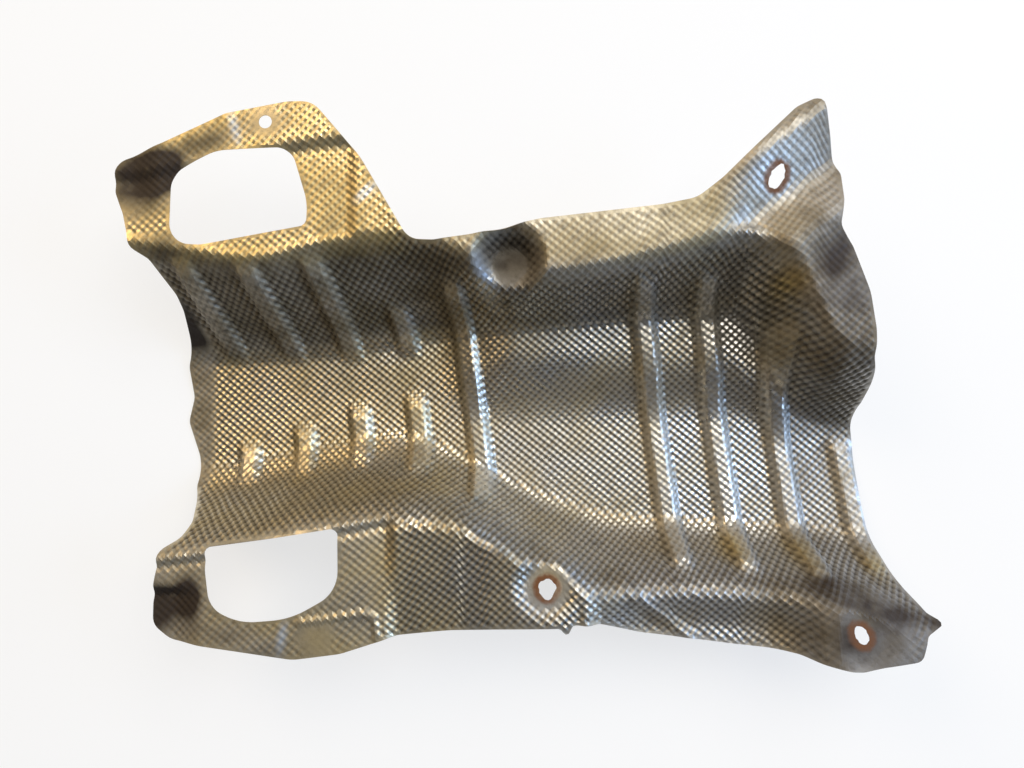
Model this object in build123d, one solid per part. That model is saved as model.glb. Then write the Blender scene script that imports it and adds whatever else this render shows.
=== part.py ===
from build123d import *
import os
import numpy as np

# Exhaust heat shield: one sheet of embossed aluminium, drawn into a trough,
# stiffened with beads, then trimmed and pierced.
# X runs along the trough, Y across it, Z up out of its open side.

# Sheet and drawing depth, in millimetres
THICKNESS = 0.8
UPPER_HEIGHT = 89.0
SHELF_RISE = 18.0
SHELF_BACK_RISE = 23.0
FLOOR = THICKNESS

# Bend reach: half the width, seen from above, of each rounded fold
FOLD_REACH = 8.0
FOOT_REACH = 12.0
LOWER_FOOT_REACH = 16.0
SHELF_REACH = 13.0
END_FOLD_REACH = 18.0
# Corners that stand for a rounded fold in a section, as shares of its reach
BEND_CORNERS = (-1.0, -1 / 3, 1 / 3, 1.0)

# Beads pressed up across the trough, on one regular pitch
BEAD_PITCH = 42.6
BEAD_ZERO = -34.3
BEAD_HALF_WIDTH = 10.5
BEAD_FLANK = 7.0
BEAD_FADE = 16.0
RIB_HEIGHT = 6.0
DART_HEIGHT = 4.5
# Each bead: its place on the pitch, its two ends across the trough, its height
BEADS = (
    (-4, -66, -46, DART_HEIGHT), (-4, 22, 72, DART_HEIGHT),
    (-3, -59, -33, DART_HEIGHT), (-3, 22, 69, DART_HEIGHT),
    (-2, -53, -18, DART_HEIGHT), (-2, 23, 73, DART_HEIGHT),
    (-1, -58, -10, DART_HEIGHT), (-1, 26, 50, DART_HEIGHT),
    (0, -76, 62, RIB_HEIGHT),
    (3, -118, 62, RIB_HEIGHT), (4, -120, 66, RIB_HEIGHT), (5, -122, 34, RIB_HEIGHT),
    (6, -122, -42, DART_HEIGHT),
)
# Lean of the beads: how far X shifts for each millimetre of Y
LEAN = 0.14

# Fold lines of the trough seen from above, as (x, y)
UPPER_FOLD = ((-250, 86), (-166, 75), (-106, 86), (-71, 86), (-11, 68), (20, 61), (53, 65),
              (102, 77), (143, 89), (162, 80), (176, 62), (186, 38), (196, 16), (208, 7), (260, 3))
UPPER_FOOT = ((-250, 24), (-124, 31), (-57, 42), (-13, 45), (127, 54), (148, 54), (160, 45),
              (184, 0), (200, -13), (227, -19), (260, -22))
SHELF_EDGE = ((-41, 7), (0, 14), (140, 14), (162, 8), (184, -18), (200, -28), (260, -38))
SHELF_FOOT = ((-41, -15), (0, -17), (140, -17), (184, -32), (200, -40), (260, -52))
LOWER_FOOT = ((-250, -72), (-123, -51), (-90, -47), (-64, -52), (-15, -78), (18, -91),
              (58, -102), (104, -107), (146, -108), (192, -111), (260, -113))
LOWER_FOLD = ((-250, -114), (-107, -91), (-60, -84), (-39, -85), (-14, -95), (4, -107),
              (35, -122), (60, -129), (110, -127), (157, -129), (196, -132), (260, -150))

# Heights of the fold lines above the floor, as (x, height)
UPPER_FOOT_RISE = ((-60, 3), (0, SHELF_BACK_RISE), (150, SHELF_BACK_RISE), (210, 6))
SHELF_EDGE_RISE = ((-60, 1.5), (0, SHELF_RISE), (150, SHELF_RISE), (210, 3))
LOWER_FOOT_RISE = ((40, 0), (190, 4), (250, 12))
UPPER_FOLD_REACH = ((140, FOLD_REACH), (190, END_FOLD_REACH))
LOWER_FOLD_RISE = ((-250, 83), (-130, 84), (-40, 80), (20, 80), (90, 64), (160, 62), (205, 83))

# Ear at the upper right: a valley, a crest beyond it, a ridge before it and the end panel
EAR_START = (118.0, 152.0)
VALLEY_POINT = (141.0, 93.0)
VALLEY_DIRECTION = (0.814, 0.581)
VALLEY_DROP = 8.0
CREST_OFFSET = 31.0
RIDGE_OFFSET = 25.0
PANEL_OFFSET = 45.0
CREST_SLOPE = 0.55
RIDGE_SLOPE = 0.45
PANEL_SLOPE = 0.25
VALLEY_REACH = 6.0
CREST_REACH = 4.0
RIDGE_REACH = 5.0

# Steps pressed into the flanges round the two windows
STEP_DEPTH = 3.0
STEP_LINE = ((-250, 131), (-100, 150.5))
STEP_RUN = 4.0
UPPER_PANEL_EDGE = -102.0
LOWER_WING_EDGE = -77.0
LOWER_WING_DROP = 6.0
KNUCKLE_DROP = 5.0
KNUCKLE_RUN = 22.0
UPPER_KNUCKLE = (-226.0, 104.0)
LOWER_KNUCKLE = (-196.0, -130.0)
MIDDLE_FLANGE_SLOPE = 0.13
SKIRT_DROP = 9.0
SKIRT_SPAN = (44.0, 190.0)

# Round seats pressed flat for the fixings: x, y, height above zero, flat radius, blend
POCKET_SEAT = (-3.0, 73.5, 68.0, 11.0, 14.0)
LOWER_SEAT = (21.0, -130.5, 74.0, 12.5, 11.0)
CORNER_SEAT = (209.5, -154.5, 82.0, 12.0, 14.0)

# Trimmed edge of the sheet, clockwise from the upper left knuckle: x, y, corner radius
TOP_EDGE = (
    (-259, 121, 8), (-259, 139, 12), (-226, 150, 20), (-184, 169, 12), (-144, 176, 20),
    (-128, 176, 16), (-97, 140, 60), (-66, 87.5, 12), (-50, 86.5, 15), (-27, 89.5, 40),
    (17, 99, 60), (92, 107, 60), (113, 111, 20), (129, 123, 25), (173, 165, 12), (187, 171, 5),
)
RIGHT_EDGE = (
    (194, 148, 30), (197.5, 134, 6), (201.5, 126, 8), (201, 108, 15), (199, 93, 8),
    (207, 80, 12), (217, 52, 40), (220, 30, 30), (220, 14, 12), (232, -13, 12), (236, -40, 60),
    (238, -80, 60), (242, -110, 60), (248, -133, 6), (253, -143.5, 3), (259, -147, 1),
)
BOTTOM_EDGE = (
    (259, -149, 1), (248, -154.5, 4), (244, -169, 6), (222, -173, 20), (210, -176, 12),
    (204, -176, 12), (180, -172, 20), (139, -168, 60), (80, -161, 60), (54, -154, 20),
    (37, -153, 2), (33.5, -160.5, 2), (29, -155, 2),
    (-40, -158, 60), (-75, -161.5, 40), (-108, -172, 30), (-138, -176, 30), (-195, -169, 30),
    (-219, -166, 15),
)
LEFT_EDGE = (
    (-231, -157, 10), (-231, -143, 10), (-227, -120, 15), (-227, -110, 6), (-217, -103, 5),
    (-217, -95, 6), (-233, -74, 10), (-236, -52, 20), (-245, -27, 10), (-241, -9, 10),
    (-245, 14, 12), (-232, 50, 15), (-231, 59, 10), (-237, 78, 4), (-246, 84, 5), (-251, 106, 15),
)

# Windows, in the same form
UPPER_WINDOW = (
    (-220.5, 86, 14), (-220, 130, 14), (-190, 145, 30), (-142, 147, 12), (-131, 112, 40),
    (-131.5, 97, 5), (-172, 90, 30), (-200, 85, 20),
)
LOWER_WINDOW = (
    (-195.5, -107, 3), (-150, -100.5, 60), (-111, -94, 4), (-110, -134, 14), (-140, -151, 20),
    (-172, -154, 16), (-192, -145, 12), (-195.5, -122, 20),
)

# Holes: one for a bolt, a keyhole and a slot in the lower seats, a torn slot in the ear
BOLT_HOLE = (-158.0, 163.0)
BOLT_HOLE_DIAMETER = 8.5
KEYHOLE_DIAMETER = 11.0
KEYHOLE_NOTCH = 5.0
CORNER_SLOT = (12.0, 7.5)
CORNER_SLOT_ANGLE = 118.0
TORN_SLOT_PLACE = (162.0, 123.5)
TORN_SLOT = (15.0, 9.0)
TORN_SLOT_ANGLE = 62.0

# Blank before trimming, and the stations along it where its section is drawn
BLANK_X = 285.0
BLANK_Y = 205.0
BEAD_PLACES = (-4, -3, -2, -1, 0, 3, 4, 5, 6)
PANEL_STATIONS = (-250, -233, -97, -90, -5, 10, 22, 36, 54, 157, 200, 250)
CLOSEST_BREAKS = 0.6
CROSSING_TRIES = 20
SLOPE_PROBE = 0.02
CUT_HEIGHT = 1.5 * UPPER_HEIGHT


def follow(line, x):
    """Value at x of a smooth line through (x, value) pairs, level past its ends."""
    xs = np.array([point[0] for point in line], float)
    values = np.array([point[1] for point in line], float)
    x = np.clip(x, xs[0], xs[-1])
    steps = np.diff(values) / np.diff(xs)
    turns = steps[:-1] * steps[1:] > 0
    tangents = np.zeros(len(xs))
    sums = np.where(turns, steps[:-1] + steps[1:], 1.0)
    tangents[1:-1] = np.where(turns, 2 * steps[:-1] * steps[1:] / sums, 0.0)
    i = np.clip(np.searchsorted(xs, x) - 1, 0, len(xs) - 2)
    span = xs[i + 1] - xs[i]
    t = (x - xs[i]) / span
    start = values[i] * (1 + 2 * t) + tangents[i] * span * t
    end = values[i + 1] * (3 - 2 * t) + tangents[i + 1] * span * (t - 1)
    return start * (1 - t) ** 2 + end * t ** 2


def ease(t):
    """Smooth step from 0 at t = 0 to 1 at t = 1."""
    t = np.clip(t, 0.0, 1.0)
    return t * t * (3 - 2 * t)


def fold(distance, reach):
    """Zero before a fold line and equal to the distance past it, rounded within reach."""
    rounded = (distance + reach) ** 2 / (4 * reach)
    return np.where(distance < -reach, 0.0, np.where(distance > reach, distance, rounded))


def trough(x, y):
    """Height and cross slope of the plain folded trough, and its two flange folds."""
    corners = (
        (LOWER_FOLD, LOWER_FOLD_RISE, FOLD_REACH),
        (LOWER_FOOT, LOWER_FOOT_RISE, LOWER_FOOT_REACH),
        (SHELF_FOOT, ((0, 0), (1, 0)), SHELF_REACH),
        (SHELF_EDGE, SHELF_EDGE_RISE, SHELF_REACH),
        (UPPER_FOOT, UPPER_FOOT_RISE, FOOT_REACH),
        (UPPER_FOLD, ((0, UPPER_HEIGHT), (1, UPPER_HEIGHT)), follow(UPPER_FOLD_REACH, x)),
    )
    places = [follow(line, x) for line, rise, reach in corners]
    levels = [FLOOR + follow(rise, x) for line, rise, reach in corners]
    height = levels[0] + 0 * y
    slope = 0 * height
    before = 0 * height
    for k, (line, rise, reach) in enumerate(corners):
        after = 0 * height
        if k + 1 < len(corners):
            after = (levels[k + 1] - levels[k]) / (places[k + 1] - places[k])
        past = y - places[k]
        height = height + (after - before) * fold(past, reach)
        slope = slope + (after - before) * np.clip((past + reach) / (2 * reach), 0, 1)
        before = after
    return height, slope, places[0], places[-1]


def beads(x, y, slope):
    """Height that ribs and darts add, at right angles to the trough's surface."""
    station = x + LEAN * y
    lift = 0 * station
    for place, low, high, rise in BEADS:
        off_centre = np.abs(station - BEAD_ZERO - place * BEAD_PITCH)
        across = ease((BEAD_HALF_WIDTH - off_centre) / BEAD_FLANK)
        length = ease((y - low) / BEAD_FADE + 0.5) * ease((high - y) / BEAD_FADE + 0.5)
        lift = np.maximum(lift, rise * across * length)
    return lift * np.sqrt(1 + slope ** 2)


def ear_relief(x, y):
    """Folded ear at the upper right, relative to the flat flange."""
    along, across = VALLEY_DIRECTION
    offset = along * (y - VALLEY_POINT[1]) - across * (x - VALLEY_POINT[0])
    relief = CREST_SLOPE * fold(offset, VALLEY_REACH) + RIDGE_SLOPE * fold(-offset, VALLEY_REACH)
    relief = relief - 2 * CREST_SLOPE * fold(offset - CREST_OFFSET, CREST_REACH) - VALLEY_DROP
    relief = relief - (RIDGE_SLOPE + PANEL_SLOPE) * fold(-offset - RIDGE_OFFSET, RIDGE_REACH)
    relief = relief + PANEL_SLOPE * fold(-offset - PANEL_OFFSET, VALLEY_REACH)
    start, end = EAR_START
    return relief * ease((x - start) / (end - start))


def upper_relief(x, y):
    """Stepped panel and rolled-down knuckle of the upper left flange."""
    panel = ease((follow(STEP_LINE, x) - y) / STEP_RUN + 0.5)
    panel = panel * ease((UPPER_PANEL_EDGE - x) / STEP_RUN + 0.5)
    knuckle = ease((UPPER_KNUCKLE[0] - x) / KNUCKLE_RUN)
    knuckle = knuckle * ease((y - UPPER_KNUCKLE[1]) / KNUCKLE_RUN)
    return ear_relief(x, y) - STEP_DEPTH * panel - KNUCKLE_DROP * knuckle


def lower_relief(x, y, fold_line):
    """Dropped wing, sloping middle and skirt of the lower flange."""
    wing = ease((LOWER_WING_EDGE - x) / STEP_RUN + 0.5)
    knuckle = ease((LOWER_KNUCKLE[0] - x) / KNUCKLE_RUN)
    knuckle = knuckle * ease((LOWER_KNUCKLE[1] - y) / STEP_RUN)
    middle = (1 - wing) * ease((SKIRT_SPAN[0] - x) / STEP_RUN + 0.5)
    skirt = ease((x - SKIRT_SPAN[0]) / FOOT_REACH) * ease((SKIRT_SPAN[1] - x) / FOOT_REACH)
    skirt = skirt * ease((fold_line - y) / (4 * FOLD_REACH))
    slope = MIDDLE_FLANGE_SLOPE * (fold_line - y)
    return -(LOWER_WING_DROP * wing + KNUCKLE_DROP * knuckle + slope * middle + SKIRT_DROP * skirt)


def near(seat, x, y):
    """One on the flat of a round seat, falling to zero past its blend."""
    centre_x, centre_y, level, flat, blend = seat
    return ease((flat + blend - np.hypot(x - centre_x, y - centre_y)) / blend)


def height(x, y):
    """Height of the sheet's upper face above any point of the plan."""
    z, slope, lower_fold, upper_fold = trough(x, y)
    z = z + ease((y - upper_fold) / FOLD_REACH) * upper_relief(x, y)
    z = z + ease((lower_fold - y) / FOLD_REACH) * lower_relief(x, y, lower_fold)
    z = z + beads(x, y, slope)
    z = z - near(CORNER_SEAT, x, y) * np.maximum(z - CORNER_SEAT[2], 0)
    for seat in (POCKET_SEAT, LOWER_SEAT):
        z = z + near(seat, x, y) * (seat[2] - z)
    return z


def skin(x, y, depth):
    """Height of the face that lies depth below the upper face, square to the sheet."""
    probe = SLOPE_PROBE
    slope_x = (height(x + probe, y) - height(x - probe, y)) / (2 * probe)
    slope_y = (height(x, y + probe) - height(x, y - probe)) / (2 * probe)
    return height(x, y) - depth * np.sqrt(1 + slope_x ** 2 + slope_y ** 2)


def break_points(station):
    """Y of every corner of one section of the sheet, from the lower edge to the upper."""

    def crossing(line):
        y = 0.0
        for _ in range(CROSSING_TRIES):
            y = follow(line, station - LEAN * y)
        return y

    def ear_line(offset):
        along, across = VALLEY_DIRECTION
        reached = along * VALLEY_POINT[1] + across * (station - VALLEY_POINT[0]) + offset
        return reached / (along + across * LEAN)

    lower, upper = crossing(LOWER_FOLD), crossing(UPPER_FOLD)
    breaks = [-BLANK_Y, lower - 3 * FOLD_REACH, lower - 2 * FOLD_REACH]
    breaks += [lower + FOLD_REACH * t for t in BEND_CORNERS]
    breaks += [crossing(LOWER_FOOT) + LOWER_FOOT_REACH * t for t in BEND_CORNERS]
    breaks += [crossing(SHELF_FOOT) + SHELF_REACH * t for t in (-1, 0)]
    breaks += [crossing(SHELF_EDGE) + SHELF_REACH * t for t in (0, 1)]
    breaks += [crossing(UPPER_FOOT) + FOOT_REACH * t for t in BEND_CORNERS]
    upper_reach = follow(UPPER_FOLD_REACH, station)
    breaks += [upper + upper_reach * t for t in BEND_CORNERS]
    if station > EAR_START[0]:
        lines = [ear_line(-RIDGE_OFFSET), ear_line(0), ear_line(CREST_OFFSET)]
        breaks += [max(y, upper + upper_reach) for y in lines]
    else:
        step = crossing(STEP_LINE)
        breaks += [(upper + step) / 2, step - STEP_RUN / 2, step + STEP_RUN / 2]
    breaks = sorted(breaks)
    for i in range(1, len(breaks)):
        breaks[i] = max(breaks[i], breaks[i - 1] + CLOSEST_BREAKS)
    return np.array(breaks + [BLANK_Y])


def section_wire(station):
    """Closed section of the sheet along one leaning line across the trough."""
    y = break_points(station)
    x = station - LEAN * y
    upper = [Vector(*point) for point in zip(x, y, skin(x, y, 0.0))]
    under = [Vector(*point) for point in zip(x, y, skin(x, y, THICKNESS))]
    return Wire.make_polygon(upper + under[::-1], close=True)


def punch(outline):
    """Upright tool with a rounded outline given as x, y and corner radius."""
    corners = [(x, y) for x, y, radius in outline]
    radii = [radius for x, y, radius in outline]
    face = make_face(FilletPolyline(*corners, radius=radii, close=True))
    return extrude(face, CUT_HEIGHT, both=True)


def slot_punch(place, size, angle):
    """Upright tool with a slot outline."""
    length, width = size
    return extrude(Pos(*place) * SlotOverall(length, width, rotation=angle), CUT_HEIGHT, both=True)


# Draw the sheet: ruled strips between neighbouring sections
flanks = (-BEAD_HALF_WIDTH, BEAD_FLANK - BEAD_HALF_WIDTH)
offsets = flanks + tuple(-offset for offset in flanks)
stations = [-BLANK_X, BLANK_X] + list(PANEL_STATIONS)
stations += [BEAD_ZERO + place * BEAD_PITCH + offset for place in BEAD_PLACES for offset in offsets]
sheet = Solid.make_loft([section_wire(s) for s in sorted(stations)], ruled=True)

# Trim the edge
sheet = sheet & punch(TOP_EDGE + RIGHT_EDGE + BOTTOM_EDGE + LEFT_EDGE)

# Pierce the windows and the holes
sheet -= punch(UPPER_WINDOW)
sheet -= punch(LOWER_WINDOW)
sheet -= extrude(Pos(*BOLT_HOLE) * Circle(BOLT_HOLE_DIAMETER / 2), CUT_HEIGHT, both=True)
keyhole = Circle(KEYHOLE_DIAMETER / 2) + Pos(0, -KEYHOLE_DIAMETER / 2) * Circle(KEYHOLE_NOTCH / 2)
sheet -= extrude(Pos(*LOWER_SEAT[:2]) * keyhole, CUT_HEIGHT, both=True)
sheet -= slot_punch(CORNER_SEAT[:2], CORNER_SLOT, CORNER_SLOT_ANGLE)
sheet -= slot_punch(TORN_SLOT_PLACE, TORN_SLOT, TORN_SLOT_ANGLE)

heat_shield = sheet.solids()[0]
heat_shield.label = "heat_shield"

os.makedirs("parts", exist_ok=True)
export_step(heat_shield, "parts/heat_shield.step")
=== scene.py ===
# %% [markdown]
# # Exhaust heat shield
# A car's exhaust runs hot, so a thin sheet of embossed aluminium hangs between it and the floor.
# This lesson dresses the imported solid: it builds the same pressed sheet again as a fine mesh with
# its embossing, gives it a worn metal finish, and lights it as on a studio table.

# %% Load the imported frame
import math

import bpy
import numpy as np
from mathutils import Matrix, Vector, kdtree
from mathutils.geometry import delaunay_2d_cdt


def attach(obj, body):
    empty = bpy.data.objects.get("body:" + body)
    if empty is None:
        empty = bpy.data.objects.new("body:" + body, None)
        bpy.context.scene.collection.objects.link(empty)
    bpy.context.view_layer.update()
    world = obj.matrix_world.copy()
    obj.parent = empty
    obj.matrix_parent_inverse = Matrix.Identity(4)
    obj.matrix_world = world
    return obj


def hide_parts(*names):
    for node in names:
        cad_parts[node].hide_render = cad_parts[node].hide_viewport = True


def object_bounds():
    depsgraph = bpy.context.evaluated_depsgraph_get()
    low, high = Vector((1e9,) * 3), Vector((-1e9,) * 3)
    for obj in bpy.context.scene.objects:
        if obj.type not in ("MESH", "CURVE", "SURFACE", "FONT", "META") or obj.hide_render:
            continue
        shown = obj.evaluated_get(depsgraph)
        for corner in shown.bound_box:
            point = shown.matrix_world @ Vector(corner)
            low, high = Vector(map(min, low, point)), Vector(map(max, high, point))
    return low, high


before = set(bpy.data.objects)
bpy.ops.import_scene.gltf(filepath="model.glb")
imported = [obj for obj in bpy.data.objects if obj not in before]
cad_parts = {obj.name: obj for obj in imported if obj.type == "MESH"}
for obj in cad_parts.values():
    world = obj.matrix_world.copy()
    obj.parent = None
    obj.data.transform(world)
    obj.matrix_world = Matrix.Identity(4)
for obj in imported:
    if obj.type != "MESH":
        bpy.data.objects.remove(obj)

cad_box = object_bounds()
print("CAD box in metres:", [list(corner) for corner in cad_box])

# %% [markdown]
# ## Lines, steps and folds
# Pressed sheet has no straight fold: each line wanders a little along the part. Three helpers are
# enough to write such a shape as a formula, in millimetres: a smooth line through a few points,
# a soft step, and a rounded fold. A formula was chosen over sculpting because it can be sampled
# as finely as the embossing needs, and because it follows the same values as the solid. Only the
# lower fold, the panel steps and the lower window's corners are softer here than in the solid.

# %% Helpers for the formula
def follow(line, x):
    """Value at x of a smooth line through (x, value) pairs, level past its ends."""
    xs = np.array([point[0] for point in line], float)
    values = np.array([point[1] for point in line], float)
    x = np.clip(x, xs[0], xs[-1])
    steps = np.diff(values) / np.diff(xs)
    turns = steps[:-1] * steps[1:] > 0
    tangents = np.zeros(len(xs))
    sums = np.where(turns, steps[:-1] + steps[1:], 1.0)
    tangents[1:-1] = np.where(turns, 2 * steps[:-1] * steps[1:] / sums, 0.0)
    i = np.clip(np.searchsorted(xs, x) - 1, 0, len(xs) - 2)
    span = xs[i + 1] - xs[i]
    t = (x - xs[i]) / span
    start = values[i] * (1 + 2 * t) + tangents[i] * span * t
    end = values[i + 1] * (3 - 2 * t) + tangents[i + 1] * span * (t - 1)
    return start * (1 - t) ** 2 + end * t ** 2


def ease(t):
    """Smooth step from 0 at t = 0 to 1 at t = 1."""
    t = np.clip(t, 0.0, 1.0)
    return t * t * (3 - 2 * t)


def fold(distance, reach):
    """Zero before a fold line and equal to the distance past it, rounded within reach."""
    rounded = (distance + reach) ** 2 / (4 * reach)
    return np.where(distance < -reach, 0.0, np.where(distance > reach, distance, rounded))


print("helpers ready: follow, ease and fold")

# %% [markdown]
# ## The drawn trough
# Across its width the sheet is a folded strip: flange, wall, floor, a sloping band up to a shelf,
# wall and flange. Each fold has a line seen from above and a height, and the strip turns from one
# slope to the next with a rounded bend.

# %% The trough's folds
THICKNESS = 0.8
UPPER_HEIGHT = 89.0
SHELF_RISE = 18.0
SHELF_BACK_RISE = 23.0
FLOOR = THICKNESS
FOLD_REACH = 8.0
FOOT_REACH = 12.0
LOWER_FOOT_REACH = 16.0
LOWER_FOLD_REACH = 12.0
SHELF_REACH = 13.0
UPPER_FOLD = ((-250, 86), (-166, 75), (-106, 86), (-71, 86), (-11, 68), (20, 61), (53, 65),
              (102, 77), (143, 89), (162, 80), (176, 62), (186, 38), (196, 16), (208, 7), (260, 3))
UPPER_FOOT = ((-250, 24), (-124, 31), (-57, 42), (-13, 45), (127, 54), (148, 54), (160, 45),
              (184, 0), (200, -13), (227, -19), (260, -22))
SHELF_EDGE = ((-41, 7), (0, 14), (140, 14), (162, 8), (184, -18), (200, -28), (260, -38))
SHELF_FOOT = ((-41, -15), (0, -17), (140, -17), (184, -32), (200, -40), (260, -52))
LOWER_FOOT = ((-250, -72), (-123, -51), (-90, -47), (-64, -52), (-15, -78), (18, -91),
              (58, -102), (104, -107), (146, -108), (192, -111), (260, -113))
LOWER_FOLD = ((-250, -114), (-107, -91), (-60, -84), (-39, -85), (-14, -95), (4, -107),
              (35, -122), (60, -129), (110, -127), (157, -129), (196, -132), (260, -150))
END_FOLD_REACH = 18.0
UPPER_FOLD_REACH = ((140, FOLD_REACH), (190, END_FOLD_REACH))
UPPER_FOOT_RISE = ((-60, 3), (0, SHELF_BACK_RISE), (150, SHELF_BACK_RISE), (210, 6))
SHELF_EDGE_RISE = ((-60, 1.5), (0, SHELF_RISE), (150, SHELF_RISE), (210, 3))
LOWER_FOOT_RISE = ((40, 0), (190, 4), (250, 12))
LOWER_FOLD_RISE = ((-250, 83), (-130, 84), (-40, 80), (20, 80), (90, 64), (160, 62), (205, 83))


def trough(x, y):
    """Height and cross slope of the plain folded trough, and its two flange folds."""
    corners = (
        (LOWER_FOLD, LOWER_FOLD_RISE, LOWER_FOLD_REACH),
        (LOWER_FOOT, LOWER_FOOT_RISE, LOWER_FOOT_REACH),
        (SHELF_FOOT, ((0, 0), (1, 0)), SHELF_REACH),
        (SHELF_EDGE, SHELF_EDGE_RISE, SHELF_REACH),
        (UPPER_FOOT, UPPER_FOOT_RISE, FOOT_REACH),
        (UPPER_FOLD, ((0, UPPER_HEIGHT), (1, UPPER_HEIGHT)), follow(UPPER_FOLD_REACH, x)),
    )
    places = [follow(line, x) for line, rise, reach in corners]
    levels = [FLOOR + follow(rise, x) for line, rise, reach in corners]
    height = levels[0] + 0 * y
    slope = 0 * height
    before = 0 * height
    for k, (line, rise, reach) in enumerate(corners):
        after = 0 * height
        if k + 1 < len(corners):
            after = (levels[k + 1] - levels[k]) / (places[k + 1] - places[k])
        past = y - places[k]
        height = height + (after - before) * fold(past, reach)
        slope = slope + (after - before) * np.clip((past + reach) / (2 * reach), 0, 1)
        before = after
    return height, slope, places[0], places[-1]


print("trough depth in millimetres:", UPPER_HEIGHT)

# %% [markdown]
# ## Ribs and darts
# Long ribs and short gusset darts stiffen the sheet. They stand on one pitch and lean a little, so
# one table of ends and one profile make all of them.

# %% Beads pressed across the trough
BEAD_PITCH = 42.6
BEAD_ZERO = -34.3
BEAD_HALF_WIDTH = 10.5
BEAD_FLANK = 7.0
BEAD_FADE = 16.0
RIB_HEIGHT = 6.0
DART_HEIGHT = 4.5
BEADS = (
    (-4, -66, -46, DART_HEIGHT), (-4, 22, 72, DART_HEIGHT),
    (-3, -59, -33, DART_HEIGHT), (-3, 22, 69, DART_HEIGHT),
    (-2, -53, -18, DART_HEIGHT), (-2, 23, 73, DART_HEIGHT),
    (-1, -58, -10, DART_HEIGHT), (-1, 26, 50, DART_HEIGHT),
    (0, -76, 62, RIB_HEIGHT),
    (3, -118, 62, RIB_HEIGHT), (4, -120, 66, RIB_HEIGHT), (5, -122, 34, RIB_HEIGHT),
    (6, -122, -42, DART_HEIGHT),
)
LEAN = 0.14


def beads(x, y, slope):
    """Height that ribs and darts add, at right angles to the trough's surface."""
    station = x + LEAN * y
    lift = 0 * station
    for place, low, high, rise in BEADS:
        off_centre = np.abs(station - BEAD_ZERO - place * BEAD_PITCH)
        across = ease((BEAD_HALF_WIDTH - off_centre) / BEAD_FLANK)
        length = ease((y - low) / BEAD_FADE + 0.5) * ease((high - y) / BEAD_FADE + 0.5)
        lift = np.maximum(lift, rise * across * length)
    return lift * np.sqrt(1 + slope ** 2)


print("beads:", len(BEADS))

# %% [markdown]
# ## Flanges, ear and wings
# The flanges aren't flat: a folded ear stands at the upper right, a stepped panel surrounds each
# window, and both left ends roll down to a knuckle. Each is a small relief added past the fold.

# %% Relief of the flanges
EAR_START = (118.0, 152.0)
VALLEY_POINT = (141.0, 93.0)
VALLEY_DIRECTION = (0.814, 0.581)
VALLEY_DROP = 8.0
CREST_OFFSET = 31.0
RIDGE_OFFSET = 25.0
PANEL_OFFSET = 45.0
CREST_SLOPE = 0.55
RIDGE_SLOPE = 0.45
PANEL_SLOPE = 0.25
VALLEY_REACH = 6.0
CREST_REACH = 4.0
RIDGE_REACH = 5.0
STEP_DEPTH = 3.0
STEP_LINE = ((-250, 131), (-100, 150.5))
UPPER_PANEL_EDGE = -102.0
LOWER_WING_EDGE = -77.0
LOWER_WING_DROP = 6.0
STEP_RUN = 9.0
KNUCKLE_DROP = 5.0
KNUCKLE_RUN = 22.0
UPPER_KNUCKLE = (-226.0, 104.0)
LOWER_KNUCKLE = (-196.0, -130.0)
MIDDLE_FLANGE_SLOPE = 0.13
SKIRT_DROP = 9.0
SKIRT_SPAN = (44.0, 190.0)


def ear_relief(x, y):
    """Folded ear at the upper right, relative to the flat flange."""
    along, across = VALLEY_DIRECTION
    offset = along * (y - VALLEY_POINT[1]) - across * (x - VALLEY_POINT[0])
    relief = CREST_SLOPE * fold(offset, VALLEY_REACH) + RIDGE_SLOPE * fold(-offset, VALLEY_REACH)
    relief = relief - 2 * CREST_SLOPE * fold(offset - CREST_OFFSET, CREST_REACH) - VALLEY_DROP
    relief = relief - (RIDGE_SLOPE + PANEL_SLOPE) * fold(-offset - RIDGE_OFFSET, RIDGE_REACH)
    relief = relief + PANEL_SLOPE * fold(-offset - PANEL_OFFSET, VALLEY_REACH)
    start, end = EAR_START
    return relief * ease((x - start) / (end - start))


def upper_relief(x, y):
    """Stepped panel and rolled-down knuckle of the upper left flange."""
    panel = ease((follow(STEP_LINE, x) - y) / STEP_RUN + 0.5)
    panel = panel * ease((UPPER_PANEL_EDGE - x) / STEP_RUN + 0.5)
    knuckle = ease((UPPER_KNUCKLE[0] - x) / KNUCKLE_RUN)
    knuckle = knuckle * ease((y - UPPER_KNUCKLE[1]) / KNUCKLE_RUN)
    return ear_relief(x, y) - STEP_DEPTH * panel - KNUCKLE_DROP * knuckle


def lower_relief(x, y, fold_line):
    """Dropped wing, sloping middle and skirt of the lower flange."""
    wing = ease((LOWER_WING_EDGE - x) / STEP_RUN + 0.5)
    knuckle = ease((LOWER_KNUCKLE[0] - x) / KNUCKLE_RUN)
    knuckle = knuckle * ease((LOWER_KNUCKLE[1] - y) / STEP_RUN)
    middle = (1 - wing) * ease((SKIRT_SPAN[0] - x) / STEP_RUN + 0.5)
    skirt = ease((x - SKIRT_SPAN[0]) / FOOT_REACH) * ease((SKIRT_SPAN[1] - x) / FOOT_REACH)
    skirt = skirt * ease((fold_line - y) / (4 * FOLD_REACH))
    slope = MIDDLE_FLANGE_SLOPE * (fold_line - y)
    return -(LOWER_WING_DROP * wing + KNUCKLE_DROP * knuckle + slope * middle + SKIRT_DROP * skirt)


print("window step in millimetres:", STEP_DEPTH)

# %% [markdown]
# ## Seats and the whole surface
# Where a nut clamps the sheet, a round seat is pressed flat. With the seats in, one function gives
# the height of the sheet's upper face anywhere in the plan.

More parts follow.
